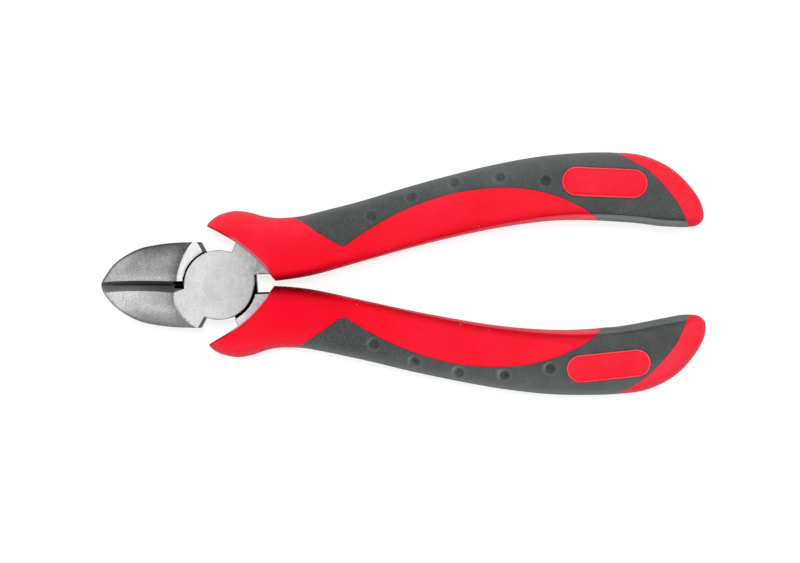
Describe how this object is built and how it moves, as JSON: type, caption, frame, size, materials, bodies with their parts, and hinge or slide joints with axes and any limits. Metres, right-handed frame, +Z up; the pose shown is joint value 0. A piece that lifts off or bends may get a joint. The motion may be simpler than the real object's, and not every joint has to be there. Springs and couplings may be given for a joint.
{
  "type": "diagonal cutter",
  "caption": "Hand-held diagonal cutter: crossing steel levers with a lap joint on a flush rivet, curved two-component plastic handles with slip guards, used to cut wire.",
  "frame": {"origin": "bottom centre of the closed tool's bounding box, on the surface that it lies on", "axes": "+X along the cutting line from the jaw tips towards the handle ends, +Z up along the pivot axis, +Y towards the upper handle"},
  "size_m": [0.1602, 0.064, 0.014],
  "materials": {
    "tool_steel": "ground joint face, blasted jaws",
    "rivet_steel": "ground flush",
    "red_core": "fine moulded satin",
    "soft_grip": "matt soft-touch",
    "red_inlay": "smooth satin"
  },
  "bodies": {
    "fixed_half": {"lower_jaw_lever": "tool_steel", "pivot_rivet": "rivet_steel", "upper_handle_core": "red_core", "upper_soft_grip": "soft_grip", "upper_label_inlay_front": "red_inlay", "upper_label_inlay_back": "red_inlay"},
    "moving_half": {"upper_jaw_lever": "tool_steel", "lower_handle_core": "red_core", "lower_soft_grip": "soft_grip", "lower_label_inlay_front": "red_inlay", "lower_label_inlay_back": "red_inlay"}
  },
  "joints": [
    {"name": "jaw_pivot", "type": "hinge", "parent": "fixed_half", "child": "moving_half", "pos_m": [-0.04863, -0.003, 0.007], "axis": [0, 0, -1], "range_deg": [0, 28]}
  ]
}
